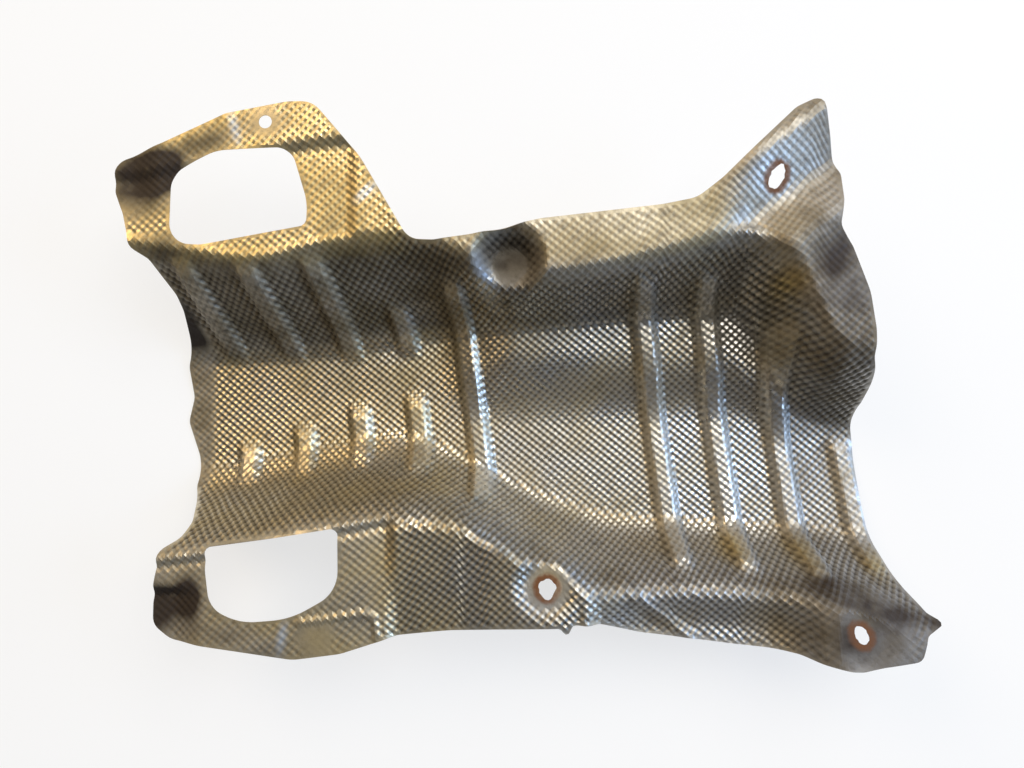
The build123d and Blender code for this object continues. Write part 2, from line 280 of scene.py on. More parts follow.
# %% Height of the sheet
POCKET_SEAT = (-3.0, 73.5, 68.0, 11.0, 14.0)
LOWER_SEAT = (21.0, -130.5, 74.0, 12.5, 11.0)
CORNER_SEAT = (209.5, -154.5, 82.0, 12.0, 14.0)


def near(seat, x, y):
    """One on the flat of a round seat, falling to zero past its blend."""
    centre_x, centre_y, level, flat, blend = seat
    return ease((flat + blend - np.hypot(x - centre_x, y - centre_y)) / blend)


def height(x, y):
    """Height of the sheet's upper face above any point of the plan."""
    z, slope, lower_fold, upper_fold = trough(x, y)
    z = z + ease((y - upper_fold) / FOLD_REACH) * upper_relief(x, y)
    z = z + ease((lower_fold - y) / FOLD_REACH) * lower_relief(x, y, lower_fold)
    z = z + beads(x, y, slope)
    z = z - near(CORNER_SEAT, x, y) * np.maximum(z - CORNER_SEAT[2], 0)
    for seat in (POCKET_SEAT, LOWER_SEAT):
        z = z + near(seat, x, y) * (seat[2] - z)
    return z


print("height of the floor and of a flange:", height(-150.0, -30.0), height(60.0, 90.0))

# %% [markdown]
# ## Edge, windows and holes
# The blank is trimmed after drawing, so its edge is a plan outline with rounded corners. Each row
# is x, y and corner radius. The holes are short polar curves, three of them torn ragged.

# %% Cut outlines
TOP_EDGE = (
    (-259, 121, 8), (-259, 139, 12), (-226, 150, 20), (-184, 169, 12), (-144, 176, 20),
    (-128, 176, 16), (-97, 140, 60), (-66, 87.5, 12), (-50, 86.5, 15), (-27, 89.5, 40),
    (17, 99, 60), (92, 107, 60), (113, 111, 20), (129, 123, 25), (173, 165, 12), (187, 171, 5),
)
RIGHT_EDGE = (
    (194, 148, 30), (197.5, 134, 6), (201.5, 126, 8), (201, 108, 15), (199, 93, 8),
    (207, 80, 12), (217, 52, 40), (220, 30, 30), (220, 14, 12), (232, -13, 12), (236, -40, 60),
    (238, -80, 60), (242, -110, 60), (248, -133, 6), (253, -143.5, 3), (259, -147, 1),
)
BOTTOM_EDGE = (
    (259, -149, 1), (248, -154.5, 4), (244, -169, 6), (222, -173, 20), (210, -176, 12),
    (204, -176, 12), (180, -172, 20), (139, -168, 60), (80, -161, 60), (54, -154, 20),
    (37, -153, 2), (33.5, -160.5, 2), (29, -155, 2),
    (-40, -158, 60), (-75, -161.5, 40), (-108, -172, 30), (-138, -176, 30), (-195, -169, 30),
    (-219, -166, 15),
)
LEFT_EDGE = (
    (-231, -157, 10), (-231, -143, 10), (-227, -120, 15), (-227, -110, 6), (-217, -103, 5),
    (-217, -95, 6), (-233, -74, 10), (-236, -52, 20), (-245, -27, 10), (-241, -9, 10),
    (-245, 14, 12), (-232, 50, 15), (-231, 59, 10), (-237, 78, 4), (-246, 84, 5), (-251, 106, 15),
)
UPPER_WINDOW = (
    (-220.5, 86, 14), (-220, 130, 14), (-190, 145, 30), (-142, 147, 12), (-131, 112, 40),
    (-131.5, 97, 5), (-172, 90, 30), (-200, 85, 20),
)
LOWER_WINDOW = (
    (-195.5, -107, 3), (-150, -100.5, 60), (-111, -94, 4), (-110, -134, 22), (-140, -151, 56),
    (-172, -154, 40), (-192, -145, 17), (-195.5, -122, 20),
)
BOLT_HOLE = (-158.0, 163.0)
BOLT_HOLE_DIAMETER = 8.5
KEYHOLE_DIAMETER = 11.0
KEYHOLE_NOTCH = 5.0
CORNER_SLOT = (12.0, 7.5)
CORNER_SLOT_ANGLE = 118.0
TORN_SLOT_PLACE = (162.0, 123.5)
TORN_SLOT = (15.0, 9.0)
TORN_SLOT_ANGLE = 62.0
ARC_POINTS = 9
HOLE_POINTS = 96
RAGGED_WAVES = ((5, 1.0, 1.0), (9, 0.7, 0.0), (14, 0.5, 2.0))
NOTCH_SPREAD = 0.42


def rounded(corners):
    """Points along a polygon whose corners have their own radii."""
    points = []
    for i, (x, y, radius) in enumerate(corners):
        here = np.array((x, y), float)
        back = np.array(corners[i - 1][:2]) - here
        ahead = np.array(corners[(i + 1) % len(corners)][:2]) - here
        back, ahead = back / np.hypot(*back), ahead / np.hypot(*ahead)
        half_angle = 0.5 * math.acos(float(np.clip(back @ ahead, -1, 1)))
        middle = (back + ahead) / np.hypot(*(back + ahead))
        centre = here + middle * radius / math.sin(half_angle)
        start = here + back * radius / math.tan(half_angle) - centre
        end = here + ahead * radius / math.tan(half_angle) - centre
        for t in np.linspace(0, 1, ARC_POINTS):
            spoke = start * (1 - t) + end * t
            points.append(centre + spoke * radius / np.hypot(*spoke))
    return np.array(points)


def hole(place, size, angle=0.0, ragged=0.0, notch=0.0):
    """Points round a long or round hole, torn or notched below where that is asked for."""
    turn = np.linspace(0, 2 * np.pi, HOLE_POINTS, endpoint=False)
    long, wide = size[0] / 2, size[1] / 2
    radius = (np.cos(turn) ** 2 / long ** 2 + np.sin(turn) ** 2 / wide ** 2) ** -0.5
    torn = sum(share * np.sin(count * turn + start) for count, share, start in RAGGED_WAVES)
    radius = radius + ragged * torn
    direction = turn + math.radians(angle)
    below = np.angle(np.exp(1j * (direction + np.pi / 2)))
    radius = radius + notch * np.exp(-(below / NOTCH_SPREAD) ** 2)
    return np.array(place) + np.stack([radius * np.cos(direction), radius * np.sin(direction)], 1)


outer_edge = rounded(TOP_EDGE + RIGHT_EDGE + BOTTOM_EDGE + LEFT_EDGE)
openings = [
    rounded(UPPER_WINDOW),
    rounded(LOWER_WINDOW),
    hole(BOLT_HOLE, (BOLT_HOLE_DIAMETER,) * 2),
    hole(LOWER_SEAT[:2], (KEYHOLE_DIAMETER,) * 2, ragged=0.3, notch=KEYHOLE_NOTCH / 2),
    hole(CORNER_SEAT[:2], CORNER_SLOT, CORNER_SLOT_ANGLE, ragged=0.15),
    hole(TORN_SLOT_PLACE, TORN_SLOT, TORN_SLOT_ANGLE, ragged=0.4),
]
print("outer edge points:", len(outer_edge), "openings:", len(openings))

# %% [markdown]
# ## Unrolling the sheet
# The sheet was embossed while flat and drawn into shape afterwards. Drawing stretches the walls and
# draws the pattern out with them, so only a share of the height counts as length on the flat sheet.
# One table gives that length from the floor to any point, and a second turns it back into y.

# %% Tables between the flat sheet and the plan
PLAN_X = np.arange(-264.0, 264.1, 2.0)
PLAN_Y = np.arange(-182.0, 182.1, 1.0)
FLOOR_LINE = -30.0
HEIGHT_SHARE = 0.45
LAST_CELL = 1.001

plan_grid = np.meshgrid(PLAN_X, PLAN_Y, indexing="ij")
surface_steps = np.hypot(np.diff(PLAN_Y), HEIGHT_SHARE * np.diff(height(*plan_grid), axis=1))
flat_length = np.pad(np.cumsum(surface_steps, axis=1), ((0, 0), (1, 0)))
flat_length = flat_length - flat_length[:, [int(FLOOR_LINE - PLAN_Y[0])]]
FLAT_V = np.arange(np.floor(flat_length.min()), np.ceil(flat_length.max()) + 1.0, 1.0)
plan_y_of = np.array([np.interp(FLAT_V, column, PLAN_Y) for column in flat_length])


def look_up(table, x, second, second_values):
    """Value of a table at x and a second coordinate, blended between its four nearest entries."""
    a = np.clip((x - PLAN_X[0]) / (PLAN_X[1] - PLAN_X[0]), 0, len(PLAN_X) - LAST_CELL)
    b = np.clip(second - second_values[0], 0, len(second_values) - LAST_CELL)
    i, j = a.astype(int), b.astype(int)
    a, b = a - i, b - j
    near_row = table[i, j] * (1 - b) + table[i, j + 1] * b
    far_row = table[i + 1, j] * (1 - b) + table[i + 1, j + 1] * b
    return near_row * (1 - a) + far_row * a


def flatten(points):
    """Flat-sheet coordinates of plan points."""
    return np.stack([points[:, 0], look_up(flat_length, points[:, 0], points[:, 1], PLAN_Y)], 1)


def unflatten(points):
    """Plan points of flat-sheet coordinates."""
    return np.stack([points[:, 0], look_up(plan_y_of, points[:, 0], points[:, 1], FLAT_V)], 1)


pattern_width = np.ptp(flat_length[len(PLAN_X) // 2])
print("width of the pattern across the middle, in millimetres:", round(float(pattern_width)))

# %% [markdown]
# ## A mesh that carries the embossing
# The embossing is a nearly square lattice of small pyramids, 3.88 mm apart. If the mesh has a point
# at each peak, each pit and each saddle between them, every facet of a pyramid is one flat pair of
# triangles, so the real relief costs few triangles. The cut edges are added as constraints to a
# Delaunay triangulation on the flat sheet, and triangles outside them are dropped.

# %% Cut edges on the flat sheet
EDGE_SPACING = 2.0
FINE_STEP = 0.4
FEWEST_EDGE_POINTS = 20


def spaced(loop):
    """A closed loop on the flat sheet, with its points at even spacing."""
    closed = np.vstack([loop, loop[:1]])
    pieces = []
    for start, end in zip(closed, closed[1:]):
        fine = max(2, int(np.hypot(*(end - start)) / FINE_STEP))
        pieces.append(np.linspace(start, end, fine))
    flat = flatten(np.vstack(pieces))
    length = np.concatenate([[0], np.cumsum(np.hypot(*np.diff(flat, axis=0).T))])
    count = max(FEWEST_EDGE_POINTS, int(length[-1] / EDGE_SPACING))
    marks = np.linspace(0, length[-1], count, endpoint=False)
    return np.stack([np.interp(marks, length, flat[:, k]) for k in (0, 1)], 1)


def inside(points, loop):
    """Which points a closed loop surrounds."""
    result = np.zeros(len(points), bool)
    for (x0, y0), (x1, y1) in zip(loop, np.roll(loop, -1, axis=0)):
        spans = (points[:, 1] < y0) != (points[:, 1] < y1)
        crossing = x0 + (points[:, 1] - y0) * (x1 - x0) / (y1 - y0 if y1 != y0 else 1.0)
        result ^= spans & (points[:, 0] < crossing)
    return result


def on_sheet(points):
    """Which flat points lie inside the outer edge and in none of the openings."""
    result = inside(points, loops[0])
    for loop in loops[1:]:
        result &= ~inside(points, loop)
    return result


def edge_distance(points):
    """Distance on the flat sheet from each point to the nearest point of a cut edge."""
    return np.array([tree.find((u, v, 0))[2] for u, v in points])


loops = [spaced(loop) for loop in [outer_edge] + openings]
edge_points = np.vstack(loops)
tree = kdtree.KDTree(len(edge_points))
for i, (u, v) in enumerate(edge_points):
    tree.insert((u, v, 0), i)
tree.balance()
print("edge points:", len(edge_points))

# %% Lattice points inside the cut edges
EMBOSS_PITCH = 3.88
EMBOSS_ANGLES = (-42.0, 52.0)
EDGE_CLEARANCE = 1.1
LATTICE_STEPS = 400
LATTICE_REACH = (260, 275)

waves = [(math.cos(math.radians(a)), math.sin(math.radians(a))) for a in EMBOSS_ANGLES]
waves = np.array(waves)
half_steps = np.mgrid[-LATTICE_STEPS:LATTICE_STEPS + 1, -LATTICE_STEPS:LATTICE_STEPS + 1]
half_steps = half_steps.reshape(2, -1).T
lattice = half_steps @ np.linalg.inv(waves).T * EMBOSS_PITCH / 2
lattice = lattice[np.all(np.abs(lattice) < LATTICE_REACH, axis=1)]
lattice = lattice[on_sheet(lattice)]
lattice = lattice[edge_distance(lattice) > EDGE_CLEARANCE]
print("lattice points:", len(lattice))

# %% Triangles on the flat sheet
MERGE_DISTANCE = 1e-6

flat_points = np.vstack([edge_points, lattice])
rim = []
for loop in loops:
    first = len(rim)
    rim += [(first + i, first + (i + 1) % len(loop)) for i in range(len(loop))]
found = delaunay_2d_cdt([Vector(p) for p in flat_points], rim, [], 0, MERGE_DISTANCE)
flat_points = np.array([tuple(p) for p in found[0]])
triangles = np.array(found[2])
triangles = triangles[on_sheet(flat_points[triangles].mean(axis=1))]
print("triangles on one face:", len(triangles))

# %% [markdown]
# ## Pressing the mesh into shape
# Each flat point is put back in the plan, lifted to the sheet's height and pushed along the surface
# normal by the embossing. The pattern fades where the tool ironed the sheet smooth: on the seats,
# pads, beads and wings, on the left margin, on the rolled knuckles and right at the cut edge. It is
# shallow where drawing stretched the flange and the right end, and deep on the steep walls.

# %% Slopes and regions of the sheet
NORMAL_PROBE = 0.25
BEAD_SPREAD = 1.3


def past(value, start, run):
    """Zero up to a start, rising smoothly to one a run further on."""
    return ease((value - start) / run)


plan = unflatten(flat_points)
x, y = plan[:, 0], plan[:, 1]
level = height(x, y)
slope_x = (height(x + NORMAL_PROBE, y) - height(x - NORMAL_PROBE, y)) / (2 * NORMAL_PROBE)
slope_y = (height(x, y + NORMAL_PROBE) - height(x, y - NORMAL_PROBE)) / (2 * NORMAL_PROBE)
normals = np.stack([-slope_x, -slope_y, np.ones_like(x)], 1)
normals /= np.linalg.norm(normals, axis=1)[:, None]
from_edge = edge_distance(flat_points)

margin = past(-x, 222, 8) * past(y, -80, 12) * past(-y, -62, 12)
upper_knuckle = past(-x, 232, 10) * past(y, 95, 12)
lower_knuckle = past(-x, 212, 10) * past(-y, 118, 10)
knuckles = np.maximum(upper_knuckle, lower_knuckle)
wings = past(-x, 70, 20) * past(level, 70, 8)
upper_flange = past(level, 70, 12) * past(x, -60, 40) * past(y, 30, 20)
right_end = past(x, 170, 20) * past(level, 20, 40)
stretched = np.maximum(upper_flange, 0.4 * right_end)
on_beads = ease(BEAD_SPREAD * beads(x, y, 0 * x) / RIB_HEIGHT)
steep = past(np.abs(slope_y), 0.6, 1.0)
print("steepest wall, in degrees:", round(math.degrees(math.atan(np.abs(slope_y).max()))))

# %% Strength of the embossing
EMBOSS_HEIGHT = 0.42
SEAT_INSET = 2.0
SEAT_FADE = 7.0
SMOOTH_PADS = ((-158, 163, 7, 6), (-124, -162, 9, 6), (-231.5, 33.5, 6, 6), (216, -158, 18, 16))
PAD_IRONING = 0.85
MARGIN_IRONING = 0.35
KNUCKLE_IRONING = 0.5
BEAD_IRONING = 0.45
WING_IRONING = 0.42
STRETCH_LOSS = 0.52
WALL_GAIN = 0.6

phase = flat_points @ waves.T * 2 * np.pi / EMBOSS_PITCH
pyramids = np.cos(phase).sum(axis=1) / 2
pattern = past(from_edge, 0.5, 2.5)
for seat in (POCKET_SEAT, LOWER_SEAT, CORNER_SEAT):
    pattern = pattern * (1 - near(seat[:3] + (seat[3] - SEAT_INSET, SEAT_FADE), x, y))
for pad_x, pad_y, flat, blend in SMOOTH_PADS:
    pattern = pattern * (1 - PAD_IRONING * near((pad_x, pad_y, 0.0, flat, blend), x, y))
pattern = pattern * (1 - np.maximum(MARGIN_IRONING * margin, KNUCKLE_IRONING * knuckles))
pattern = pattern * (1 - BEAD_IRONING * on_beads) * (1 - WING_IRONING * wings)
emboss_height = EMBOSS_HEIGHT * (1 - STRETCH_LOSS * stretched) * (1 + WALL_GAIN * steep)
print("embossing from peak to pit, in millimetres:", 2 * EMBOSS_HEIGHT)

# %% [markdown]
# The pressed edge of a pad and a crease in the skirt are low ridges, and dents from years of use
# are a sum of a few long waves. The under face follows the upper one at the foil's thickness, and
# both are kept a hair inside the solid's box.

# %% Points of both faces
FOIL_THICKNESS = 0.4
SINK = 0.05
DENT_HEIGHT = 0.45
DENT_WAVES = ((118, 20, 0.4), (83, 110, 1.9), (61, 65, 4.1), (47, 150, 2.7))
PAD_EDGE = ((-134, -153), (-93, -147), (-87, -150), (-85, -163))
PAD_EDGE_HEIGHT = 0.9
PAD_EDGE_HALF_WIDTH = 3.5
SKIRT_CREASE = ((70, -131), (112, -164))
CREASE_HEIGHT = 1.4
CREASE_HALF_WIDTH = 7.0
BOX_MARGIN = 0.01


def ridge(corners, half_width):
    """One on a line through plan points, falling to zero at its half width."""
    away = np.full_like(x, np.inf)
    for (x0, y0), (x1, y1) in zip(corners, corners[1:]):
        t = ((x - x0) * (x1 - x0) + (y - y0) * (y1 - y0)) / ((x1 - x0) ** 2 + (y1 - y0) ** 2)
        t = np.clip(t, 0, 1)
        away = np.minimum(away, np.hypot(x - x0 - t * (x1 - x0), y - y0 - t * (y1 - y0)))
    return ease(1 - away / half_width)


dents = np.zeros_like(x)
for length, angle, start in DENT_WAVES:
    along = x * math.cos(math.radians(angle)) + y * math.sin(math.radians(angle))
    dents += np.sin(2 * np.pi * along / length + start) / len(DENT_WAVES)
offset = emboss_height * pyramids * pattern - SINK + DENT_HEIGHT * (1 + dents) / 2
offset = offset + PAD_EDGE_HEIGHT * ridge(PAD_EDGE, PAD_EDGE_HALF_WIDTH)
offset = offset + CREASE_HEIGHT * ridge(SKIRT_CREASE, CREASE_HALF_WIDTH)
upper = np.column_stack([x, y, level]) + normals * offset[:, None]
under = upper - normals * FOIL_THICKNESS
low_corner, high_corner = (np.array(corner) * 1000 for corner in cad_box)
upper = np.clip(upper, low_corner + BOX_MARGIN, high_corner - BOX_MARGIN)
under = np.clip(under, low_corner + BOX_MARGIN, high_corner - BOX_MARGIN)
print("points on one face:", len(upper))

# %% The sheet as one closed mesh
points = np.vstack([upper, under]) / 1000
count = len(upper)
flipped = triangles[:, ::-1] + count
faces = [tuple(t) for t in np.vstack([triangles, flipped]).tolist()]
edges = {}
for a, b, c in triangles.tolist():
    edges.update(dict.fromkeys([(a, b), (b, c), (c, a)]))
faces += [(b, a, a + count, b + count) for a, b in edges if (b, a) not in edges]
mesh = bpy.data.meshes.new("pressed_sheet")
mesh.from_pydata(points.tolist(), [], faces)
mesh.validate()
sheet = bpy.data.objects.new("pressed_sheet", mesh)
bpy.context.scene.collection.objects.link(sheet)
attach(sheet, "root")
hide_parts("heat_shield")
mesh.calc_loop_triangles()
print("triangles in the sheet:", len(mesh.loop_triangles))

# %% [markdown]
# ## Where heat, soot and rust have reached, and painted light
# The finish isn't even: exhaust heat turned the narrow end gold, soot blackened the rolled ends,
# nuts left rings of rust, and rubbing bared a few streaks. Painted light shares these masks:
# painted shade on the walls, the lower fold, the skirt, the pocket, the left margin and the
# embossing's pits, painted gold glints at the bead feet and a painted highlight on the pocket's
# rim. Each place is a number on every point of the mesh, worked out from its distance to a feature,
# and the material mixes its colours by them.

# %% Gold, painted glints, rust, rubbed metal and a painted highlight
# Feet of the beads where warm gold glints are painted into the gold mask.
BEAD_FOOT_GLINTS = ((145, -110), (190, -114), (237, -121), (172, 60), (216, -141), (24, -127))
BEAD_FOOT_GLINT_REACH = 16
RUST_RINGS = ((LOWER_SEAT[:2], 14), (CORNER_SEAT[:2], 16), (TORN_SLOT_PLACE, 14))
RUST_WIDTH = 6.5
RUST_FADE = 4.5
# A painted bluish highlight on the lower left rim of the pocket.
POCKET_HIGHLIGHT = ((-19, 65), 24, 10, -68)
STREAKS = (((-178, 160), 5, 18, 15), ((-93, 117), 15, 5, 40), ((-145, -163), 5, 18, -10))


def spot(centre, reach_x, reach_y, turn=0.0):
    """One at a centre, falling smoothly to zero at an ellipse round it."""
    c, s = math.cos(math.radians(turn)), math.sin(math.radians(turn))
    dx, dy = x - centre[0], y - centre[1]
    return ease(1 - np.hypot((c * dx + s * dy) / reach_x, (c * dy - s * dx) / reach_y))


narrow_end = past(-x, -20, 90)
upper_wing = past(level, 72, 8) * past(-x, 40, 40) * past(y, 60, 20)
top_flange = past(level, 80, 8) * past(y, 60, 20) * past(-x, -150, 30)
cool_floor = past(x, 60, 60) * past(-y, -20, 40)
gold = np.maximum(0.2 + 0.3 * narrow_end, 0.9 * upper_wing)
gold = np.maximum(gold, 0.6 * top_flange) * (1 - 0.9 * cool_floor)
# Painted glints: warm highlights at the bead feet, laid into the gold mask.
for foot in BEAD_FOOT_GLINTS:
    gold = gold + 0.8 * spot(foot, BEAD_FOOT_GLINT_REACH, BEAD_FOOT_GLINT_REACH)
rust = sum(spot(place, reach, reach) for place, reach in RUST_RINGS)
rust = ease(3 * rust) * past(-from_edge, -RUST_WIDTH, RUST_FADE)
# The pocket's painted highlight joins the rubbed streaks in the bare-metal mask.
pocket_highlight = spot(*POCKET_HIGHLIGHT)
bare = 0.8 * pocket_highlight + sum(spot(*streak) for streak in STREAKS)
# Darkening of the embossing's pits: grime there and painted shade, stronger on steep walls, weaker
# on bare metal and where stretched.
pits = pattern * (1 - 0.4 * stretched) * (1 + 0.25 * steep)
pits = pits * (1 - 0.8 * np.clip(bare, 0, 1)) * (1 - pyramids) / 2
print("mean of the gold mask:", round(float(np.mean(gold)), 3))

# %% [markdown]
# Soot and painted shade lie in patches and in bands. A table holds the patches: strength, centre,
# two reaches and turn; soot blackens the rolled ends, and other patches darken the window's edge,
# the bolt hole, the seats, the corner and the right end. The bands follow the walls, the lower fold
# and the
# right end: painted shade on the walls, the lower fold's crest, the skirt, the pocket and the left
# margin, and a darkening towards the right end, on the stretched flange and a little on the wings.

# %% Soot, painted shade, and all masks on the mesh
SOOT_AND_SHADE_PATCHES = (
    (1.1, (-242, 128), 46, 38, 0), (0.9, (-225, 133), 26, 20, 0),
    (0.6, (-196, 150), 40, 14, 20), (0.35, (-158, 163), 24, 14, 0),
    (1.15, (-230, -147), 42, 36, 0), (0.8, (-204, -138), 16, 30, 0),
    (0.5, (-180, -162), 40, 14, 0), (0.5, (-222, 86), 26, 14, 0),
    (0.5, (-231.5, 33.5), 5, 5, 0), (0.5, (16, -138), 26, 20, 0),
    (0.3, (216, -160), 50, 34, 0), (0.3, (200, 50), 46, 80, 0),
)

upper_wall = past(slope_y, 0.5, 0.7)
lower_wall = past(-slope_y, 0.6, 0.8)
below_fold = follow(LOWER_FOLD, x) - y
along_fold = ease(1 - np.abs(below_fold) / 14)
skirt = past(below_fold, 0, 10) * past(x, 40, 20)
soot = sum(strength * spot(*place) for strength, *place in SOOT_AND_SHADE_PATCHES)
# Painted shade in the recessed pocket, left out where its rim carries the painted highlight.
soot = soot + 0.7 * near(POCKET_SEAT, x, y) * (1 - pocket_highlight)
# Painted shade on the left margin strip; darker on the stretched flange, a little on the wings and
# towards the right end.
soot = soot + 0.5 * margin + 0.3 * stretched + 0.06 * wings + 0.25 * past(x, 165, 40)
# Painted shade on the steep walls: the upper wall, most at the left, and the lower wall to the
# right.
soot = soot + (0.55 * past(-x, 0, 60) - 0.1) * upper_wall + 0.2 * lower_wall * past(x, 20, 60)
# Painted shade along the crest of the lower fold and on the skirt below it.
soot = soot + 0.3 * along_fold + 0.2 * skirt
masks = {"gold": gold, "soot": soot, "rust": rust, "bare": bare, "pits": pits}
for name, values in masks.items():
    layer = mesh.attributes.new(name, "FLOAT", "POINT")
    layer.data.foreach_set("value", np.tile(np.clip(values, 0, 1), 2).astype(np.float32))
print("finish masks:", {name: round(float(np.mean(values)), 3) for name, values in masks.items()})

# %% [markdown]
# ## Embossed aluminium
# The foil was rolled bright and then embossed between patterned rolls, and heat gave it a thin gold
# oxide, with painted gold glints added at the bead feet. Metal shows its surroundings, so its
# colour is set as what it reflects, and its roughness decides how softly. Grime and painted shade
# sit in the pits, and soot, painted shade and rust cover the metal, rough and dull. All patterns
# are procedural, with their scale worked out from sizes in millimetres.

# %% Helpers for colours and nodes
def linear(hex_colour):
    """Linear colour of an sRGB hex value."""
    channels = [int(hex_colour[i:i + 2], 16) / 255 for i in (1, 3, 5)]
    return [c / 12.92 if c <= 0.04045 else ((c + 0.055) / 1.055) ** 2.4 for c in channels] + [1.0]


def add(nodes, kind, inputs=None, **settings):
    """Adds a shader node; each input is a value, or another node and the name of its output."""
    node = nodes.new("ShaderNode" + kind)
    for name, value in settings.items():
        setattr(node, name, value)
    for socket, value in (inputs or {}).items():
        if isinstance(value, tuple) and isinstance(value[0], bpy.types.Node):
            nodes.id_data.links.new(value[0].outputs[value[1]], node.inputs[socket])
        else:
            node.inputs[socket].default_value = value
    return node


print("white in linear light:", linear("#ffffff"))

# %% Noises and colours of the sheet
SILVER = "#c0bdb5"
GOLD_AND_GLINT = "#c9b581"
GRIME = "#4a4234"
PIT_GRIME_AND_SHADE = "#2a251e"
SOOT_AND_SHADE = "#2a2016"
RUST = "#67401f"
BARE_AND_HIGHLIGHT = "#c6d0da"
BLOTCH_MM = 34.0
GRIME_MM = 7.0
GRAIN_MM = 1.2
MOST_GRIME = 0.55
MOST_PIT_GRIME_AND_SHADE = 0.88

metal = bpy.data.materials.new("embossed aluminium")
metal.use_nodes = True
nodes = metal.node_tree.nodes
nodes.clear()


def noise(size_mm, detail, roughness=0.5):
    """A noise whose features have a size in millimetres."""
    return add(nodes, "TexNoise", {
        "Vector": (place, "Object"), "Scale": 1000 / size_mm, "Detail": detail,
        "Roughness": roughness,
    })


def ranged(source, low, high, start, end):
    """A node's output carried from one range to another."""
    return add(nodes, "MapRange", {
        "Value": source, "From Min": low, "From Max": high, "To Min": start, "To Max": end,
    })


def over(below, share, hex_colour):
    """A colour laid over another, as far as a share says."""
    return add(nodes, "Mix", {0: share, 6: below, 7: linear(hex_colour)}, data_type="RGBA")


def joined(operation, first, second, **settings):
    """Two numbers put together by a maths node."""
    return add(nodes, "Math", {0: first, 1: second}, operation=operation, **settings)


place = add(nodes, "TexCoord")
blotch = noise(BLOTCH_MM, 4.0)
grime = noise(GRIME_MM, 6.0, 0.6)
grain = noise(GRAIN_MM, 2.0)
mask = {name: add(nodes, "Attribute", attribute_name=name) for name in masks}

patchy = ranged((blotch, "Fac"), 0.3, 0.7, -0.3, 0.3)
# Gold from heat oxide and from the painted glints at the bead feet.
golden_and_glinting = joined("ADD", (mask["gold"], "Fac"), (patchy, "Result"), use_clamp=True)
dirty = ranged((grime, "Fac"), 0.52, 0.75, 0.0, MOST_GRIME)
# Grime and painted shade in the pits of the embossing.
pit_grime_and_shade = ranged((mask["pits"], "Fac"), 0.25, 1.0, 0.0, MOST_PIT_GRIME_AND_SHADE)
colour = over(linear(SILVER), (golden_and_glinting, "Value"), GOLD_AND_GLINT)
colour = over((colour, 2), (dirty, "Result"), GRIME)
colour = over((colour, 2), (pit_grime_and_shade, "Result"), PIT_GRIME_AND_SHADE)
# Bare colour: rubbed streaks, and the painted highlight on the pocket's rim.
colour = over((colour, 2), (mask["bare"], "Fac"), BARE_AND_HIGHLIGHT)
print("noises and clean colours:", len(nodes), "nodes")

# %% Soot, painted shade, rust and the surface
CLEAN_METALLIC = 0.82
DARKENED_METALLIC = 0.15
SMOOTHEST = 0.26
ROUGHEST = 0.44
DARKENED_ROUGHNESS = 0.4
GRAIN_STRENGTH = 0.25
GRAIN_DEPTH = 0.0003


def worn(name, noise_node, low, high):
    """A mask broken up by a noise."""
    broken = joined("ADD", (mask[name], "Fac"), (noise_node, "Fac"))
    return ranged((broken, "Value"), low, high, 0.0, 1.0)


# Soot and painted shade share one dark colour, broken up by the blotch noise, and make the metal
# dull.
sooty_and_shaded = worn("soot", blotch, 0.45, 1.4)
rusty = worn("rust", grime, 0.8, 1.6)
colour = over((colour, 2), (sooty_and_shaded, "Result"), SOOT_AND_SHADE)
colour = over((colour, 2), (rusty, "Result"), RUST)
darkened_share = joined("MAXIMUM", (sooty_and_shaded, "Result"), (rusty, "Result"))
metallic = ranged((darkened_share, "Value"), 0.0, 1.0, CLEAN_METALLIC, DARKENED_METALLIC)
dullness = ranged((darkened_share, "Value"), 0.0, 1.0, 0.0, DARKENED_ROUGHNESS)
roughness = ranged((grime, "Fac"), 0.35, 0.75, SMOOTHEST, ROUGHEST)
roughness = joined("ADD", (roughness, "Result"), (dullness, "Result"))
bump = add(nodes, "Bump", {
    "Height": (grain, "Fac"), "Strength": GRAIN_STRENGTH, "Distance": GRAIN_DEPTH,
})
surface = add(nodes, "BsdfPrincipled", {
    "Base Color": (colour, 2),
    "Metallic": (metallic, "Result"),
    "Roughness": (roughness, "Value"),
    "Normal": (bump, "Normal"),
})
add(nodes, "OutputMaterial", {"Surface": (surface, "BSDF")})
mesh.materials.append(metal)
print("material:", metal.name, "with", len(nodes), "nodes")

# %% [markdown]
# ## Table, light and camera
# The sheet lies on a plain pale table. The table takes the shadow as an ordinary matt surface. For
# the camera and for reflections it also glows, so that it shows as near white without putting more
# light on the object.

# %% Table
TABLE_HALF = 3.0
TABLE_GAP = 0.0002
TABLE = "#dcdcda"
GLOW = 0.72

table_mesh = bpy.data.meshes.new("table")
signs = ((-1, -1), (1, -1), (1, 1), (-1, 1))
corners = [(a * TABLE_HALF, b * TABLE_HALF, 0) for a, b in signs]
table_mesh.from_pydata(corners, [], [(0, 1, 2, 3)])
table = bpy.data.objects.new("table", table_mesh)
table.location.z = -TABLE_GAP
bpy.context.scene.collection.objects.link(table)
paper = bpy.data.materials.new("matt paper")
paper.use_nodes = True
nodes = paper.node_tree.nodes
nodes.clear()
path = add(nodes, "LightPath")
seen = joined("MAXIMUM", (path, "Is Camera Ray"), (path, "Is Glossy Ray"))
seen = joined("MAXIMUM", (seen, "Value"), (path, "Is Transmission Ray"))
share = joined("MULTIPLY", (seen, "Value"), GLOW)
matt = add(nodes, "BsdfDiffuse", {"Color": linear(TABLE)})
glow = add(nodes, "Emission", {"Strength": 1.0})
both = add(nodes, "MixShader", {0: (share, "Value"), 1: (matt, "BSDF"), 2: (glow, "Emission")})
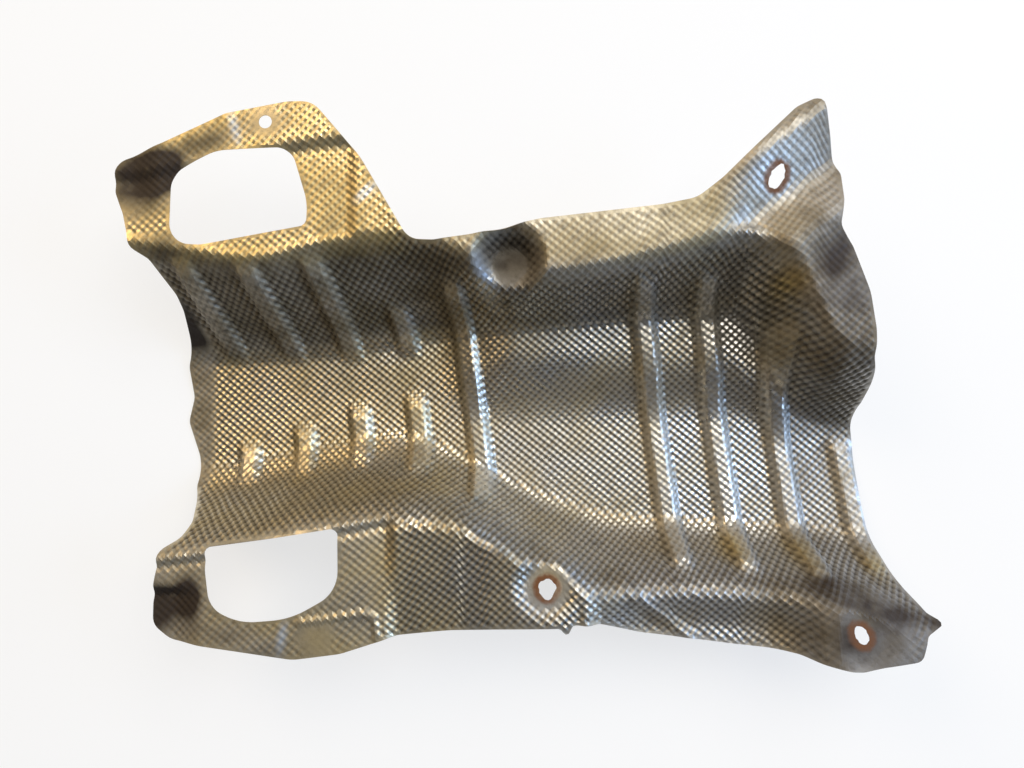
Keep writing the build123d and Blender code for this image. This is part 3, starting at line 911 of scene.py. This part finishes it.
add(nodes, "OutputMaterial", {"Surface": (both, "Shader")})
table_mesh.materials.append(paper)
print("table half width in metres:", TABLE_HALF)

# %% [markdown]
# Three soft lamps light it: a large one at the upper right as a window, a cool one low at the right
# and a warm one at the upper left. A dim grey room fills in from the other sides, and the camera
# alone sees white beyond the table.

# %% Lamps and room
ROOM = "#8f8a84"
ROOM_STRENGTH = 0.14
BACKDROP = "#ffffff"
LAMPS = (
    ("window lamp", (1.11, 1.32, 2.46), 2.2, 95.0, "#fbf8f2"),
    ("side lamp", (2.7, 0.1, 1.2), 2.0, 105.0, "#a8ccff"),
    ("warm lamp", (-1.6, 1.65, 1.93), 1.6, 46.0, "#ffdfae"),
)

world = bpy.data.worlds.new("room")
bpy.context.scene.world = world
world.use_nodes = True
nodes = world.node_tree.nodes
nodes.clear()
path = add(nodes, "LightPath")
room = add(nodes, "Background", {"Color": linear(ROOM), "Strength": ROOM_STRENGTH})
backdrop = add(nodes, "Background", {"Color": linear(BACKDROP), "Strength": 1.0})
both = add(nodes, "MixShader", {
    0: (path, "Is Camera Ray"), 1: (room, "Background"), 2: (backdrop, "Background"),
})
add(nodes, "OutputWorld", {"Surface": (both, "Shader")})
for name, position, size, power, colour_hex in LAMPS:
    data = bpy.data.lights.new(name, "AREA")
    data.size = size
    data.energy = power
    data.color = linear(colour_hex)[:3]
    lamp = bpy.data.objects.new(name, data)
    lamp.location = position
    lamp.rotation_euler = Vector(position).to_track_quat("Z", "Y").to_euler()
    bpy.context.scene.collection.objects.link(lamp)
bpy.context.scene.view_settings.view_transform = "Standard"
print("lamps:", [lamp[0] for lamp in LAMPS])

# %% [markdown]
# The picture was taken from just over half a metre, almost straight down. The lens length follows
# from the image: 769 pixels of focal length across a frame 1024 pixels wide.

# %% Camera
FRAME_WIDTH = 1024
FOCAL_PIXELS = 769
SENSOR_WIDTH = 36.0
CAMERA_AT = (0.02302, -0.02983, 0.56045)
CAMERA_BACK = Vector((0.05, -0.055, 1.0)).normalized()

camera_data = bpy.data.cameras.new("camera")
camera_data.sensor_width = SENSOR_WIDTH
camera_data.lens = FOCAL_PIXELS / FRAME_WIDTH * SENSOR_WIDTH
camera = bpy.data.objects.new("camera", camera_data)
right = (Vector((1, 0, 0)) - CAMERA_BACK * CAMERA_BACK.x).normalized()
up = CAMERA_BACK.cross(right)
aim = Matrix((right, up, CAMERA_BACK)).transposed().to_4x4()
camera.matrix_world = Matrix.Translation(CAMERA_AT) @ aim
bpy.context.scene.collection.objects.link(camera)
bpy.context.scene.camera = camera
print("lens in millimetres:", round(camera_data.lens, 2))
